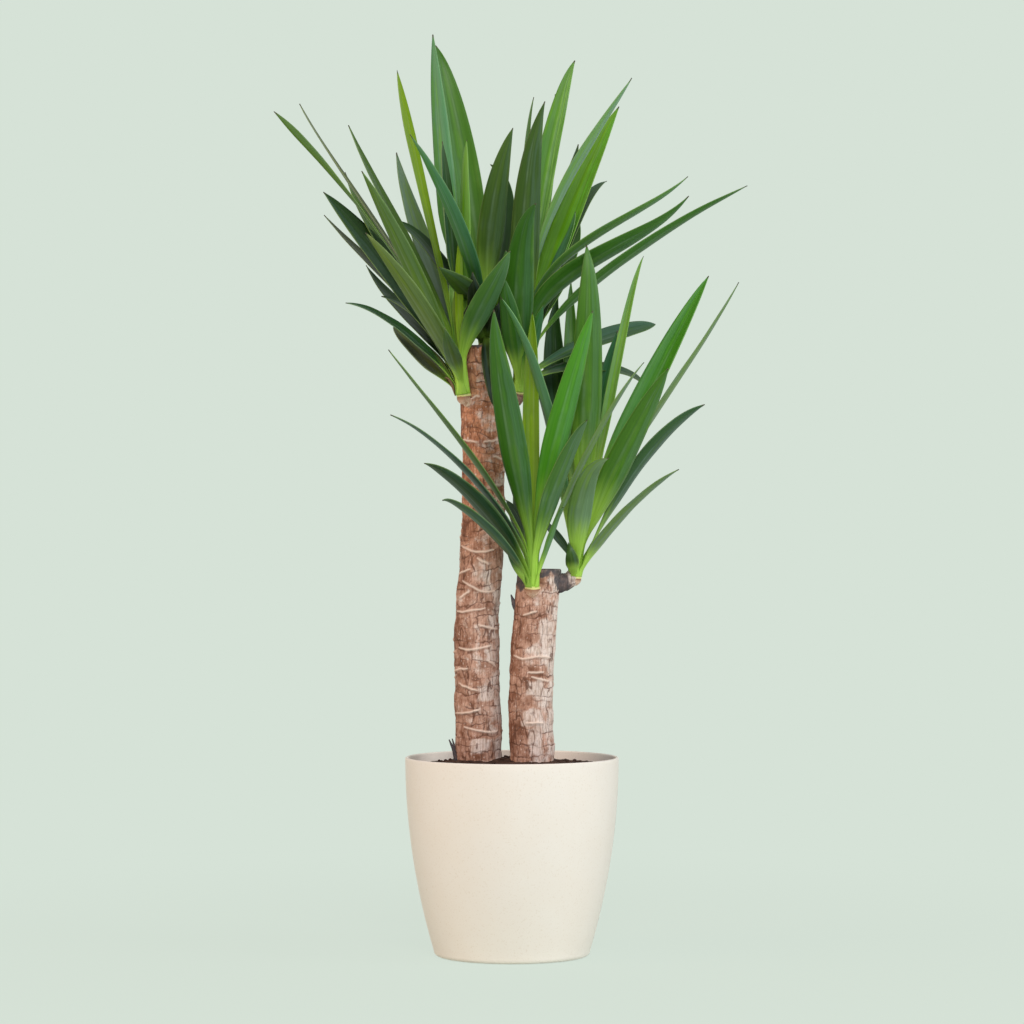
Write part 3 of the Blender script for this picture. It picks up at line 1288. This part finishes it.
def floor_material():
    """Mint floor that keeps a soft part of the shadow that falls on it."""
    backdrop = settings().stage.backdrop
    material = bpy.data.materials.new("backdrop_floor")
    material.use_nodes = True
    tree = material.node_tree
    tree.nodes.clear()
    matt = add_node(tree, "ShaderNodeBsdfDiffuse", {"Color": (*backdrop, 1.0)})
    glow = add_node(tree, "ShaderNodeEmission", {"Color": (*backdrop, 1.0), "Strength": 1.0})
    place = object_coordinates(tree)
    reach = add_node(tree, "ShaderNodeVectorMath", {0: place}, operation="LENGTH")
    far = stepped(tree, reach.outputs["Value"], 0.25, 1.1)
    plain = plus(tree, times(tree, far, 0.09), 0.91)
    share = times(tree, seen_share(tree), plain)
    mix = add_node(tree, "ShaderNodeMixShader", {0: share, 1: matt.outputs[0], 2: glow.outputs[0]})
    add_node(tree, "ShaderNodeOutputMaterial", {0: mix.outputs[0]})
    return material


def make_floor():
    shape = bmesh.new()
    bmesh.ops.create_circle(shape, cap_ends=True, segments=96, radius=FLOOR_RADIUS)
    for vertex in shape.verts:
        vertex.co.z = FLOOR_LEVEL
    mesh = mesh_from(shape, "floor", smooth=False)
    mesh.materials.append(floor_material())
    floor = bpy.data.objects.new("floor", mesh)
    bpy.context.scene.collection.objects.link(floor)


def make_world():
    stage = settings().stage
    world = bpy.data.worlds.new("studio")
    world.use_nodes = True
    tree = world.node_tree
    tree.nodes.clear()
    seen, light = [
        add_node(tree, "ShaderNodeBackground", {"Color": (*colour, 1.0), "Strength": level})
        for colour, level in ((stage.backdrop, 1.0), ((1.0, 1.0, 1.0), stage.sky_level))
    ]
    mix = add_node(
        tree, "ShaderNodeMixShader", {0: seen_share(tree), 1: light.outputs[0], 2: seen.outputs[0]})
    add_node(tree, "ShaderNodeOutputWorld", {0: mix.outputs[0]})
    bpy.context.scene.world = world


def make_camera():
    lens = bpy.data.cameras.new("camera")
    lens.sensor_width = 36.0
    lens.lens = 125.0
    lens.clip_end = 50.0
    camera = bpy.data.objects.new("camera", lens)
    aim(camera, (0.0, -CAMERA_DISTANCE, CAMERA_HEIGHT), (0.0, 0.0, CAMERA_HEIGHT))
    bpy.context.scene.camera = camera


# ---------------------------------------------------------------- operators

class YUCCA_OT_planter(bpy.types.Operator):
    """Make the round tapered planter"""

    bl_idname = "yucca.planter"
    bl_label = "Planter"

    def execute(self, context):
        mesh = turned_mesh("planter_shell", planter_profile(), PLANTER_SIDES)
        inside = mesh.attributes.new("inside", "FLOAT", "POINT")
        for vertex, value in zip(mesh.vertices, inside.data):
            reach = math.hypot(vertex.co.x, vertex.co.y) - pot_radius(vertex.co.z)
            value.value = 1.0 if reach < -0.002 and vertex.co.z > 0.003 else 0.0
        finish_piece("planter_shell", mesh, planter_material(), "planter")
        return {"FINISHED"}


class YUCCA_OT_soil(bpy.types.Operator):
    """Make the soil and its loose crumbs"""

    bl_idname = "yucca.soil"
    bl_label = "Soil"

    def execute(self, context):
        material = soil_material()
        finish_piece("soil_surface", soil_mesh(), material, "soil")
        finish_piece("soil_crumbs", crumb_mesh(), material)
        return {"FINISHED"}


class YUCCA_OT_canes(bpy.types.Operator):
    """Make both canes with their scarred bark, sawn tops and side stubs"""

    bl_idname = "yucca.canes"
    bl_label = "Canes"

    def execute(self, context):
        noise.seed_set(BARK_SWAY_SEED)
        bark = bark_material()
        coarse = 1
        for name, cane in CANES.items():
            piece = name + "_cane_bark"
            mesh = cane_mesh(piece, cane, BARK_SIDES // coarse, BARK_STEP * coarse)
            finish_piece(piece, mesh, bark, name + "_cane")
            piece = name + "_cane_stub"
            mesh = stub_mesh(piece, cane.stub, cane.waxed, cane.seed)
            finish_piece(piece, mesh, bark)
        for seed, (piece, points) in enumerate(TWIGS.items(), start=70):
            mesh = stub_mesh(piece, points, TWIG_WAXED, float(seed))
            finish_piece(piece, mesh, bark)
        return {"FINISHED"}


class YUCCA_OT_stems(bpy.types.Operator):
    """Make the green stem of each shoot"""

    bl_idname = "yucca.stems"
    bl_label = "Shoot stems"

    def execute(self, context):
        material = stem_material()
        for name, shoot in SHOOTS.items():
            mesh = stem_mesh(name + "_green_stem", shoot)
            finish_piece(mesh.name, mesh, material, name + "_shoot_stem")
        return {"FINISHED"}


class YUCCA_OT_leaves(bpy.types.Operator):
    """Make every leaf of every shoot, and the dry scales at their feet"""

    bl_idname = "yucca.leaves"
    bl_label = "Leaves"

    def execute(self, context):
        materials = {tone: leaf_material(tone) for tone in LEAF_TONES}
        seed = 0
        for name, shoot in SHOOTS.items():
            rises = [row[0] for row in LEAVES[name] + SMALL_LEAVES[name]]
            kinds = {
                "blade": LEAVES[name], "small_blade": SMALL_LEAVES[name],
                "dry_scale": DRY_SCALES.get(name, []),
            }
            for kind, rows in kinds.items():
                for number, row in enumerate(rows, start=1):
                    seed += 1
                    leaf = Leaf(*row)
                    piece = f"{name}_{kind}_{number:02d}"
                    node = f"{name}_leaf_{number:02d}" if kind == "blade" else None
                    above = sum(rise > leaf.rise for rise in rises)
                    make_leaf(piece, shoot, leaf, above, seed, materials[leaf.tone], node)
        return {"FINISHED"}


class YUCCA_OT_stage(bpy.types.Operator):
    """Make the floor, the soft light and the camera"""

    bl_idname = "yucca.stage"
    bl_label = "Stage"

    def execute(self, context):
        stage = settings().stage
        make_floor()
        make_world()
        make_camera()
        add_lamp("front", (0.45, -3.0, 1.9), 1.2, stage.front_power, (1.0, 1.0, 1.0))
        add_lamp("key", (2.85, -1.1, 1.6), 1.4, stage.key_power, (1.0, 0.985, 0.975))
        add_lamp("fill", (-2.6, -1.0, 1.6), 1.6, stage.fill_power, (1.0, 0.67, 0.46))
        context.scene.view_settings.view_transform = "Standard"
        return {"FINISHED"}


class YUCCA_PT_panel(bpy.types.Panel):
    """Lists the yucca's sizes, colours and pieces"""

    bl_idname = "YUCCA_PT_panel"
    bl_label = "Potted Yucca"
    bl_space_type = "VIEW_3D"
    bl_region_type = "UI"
    bl_category = "Yucca"

    def draw(self, context):
        for operator in OPERATORS:
            self.layout.operator(operator.bl_idname)
        for part in ("planter", "soil", "cane", "leaf", "stage"):
            group = getattr(context.scene.yucca, part)
            box = self.layout.box()
            for name in group.bl_rna.properties.keys():
                if name not in ("name", "rna_type"):
                    box.prop(group, name)


GROUPS = (PlanterSettings, SoilSettings, CaneSettings, LeafSettings, StageSettings, YuccaSettings)
OPERATORS = (
    YUCCA_OT_planter, YUCCA_OT_soil, YUCCA_OT_canes, YUCCA_OT_stems, YUCCA_OT_leaves,
    YUCCA_OT_stage,
)


def register():
    for item in (*GROUPS, *OPERATORS, YUCCA_PT_panel):
        bpy.utils.register_class(item)
    bpy.types.Scene.yucca = PointerProperty(type=YuccaSettings)


def unregister():
    del bpy.types.Scene.yucca
    for item in reversed((*GROUPS, *OPERATORS, YUCCA_PT_panel)):
        bpy.utils.unregister_class(item)


def main():
    register()
    bpy.ops.yucca.planter()
    bpy.ops.yucca.soil()
    bpy.ops.yucca.canes()
    bpy.ops.yucca.stems()
    bpy.ops.yucca.leaves()
    bpy.ops.yucca.stage()


if __name__ == "__main__":
    main()
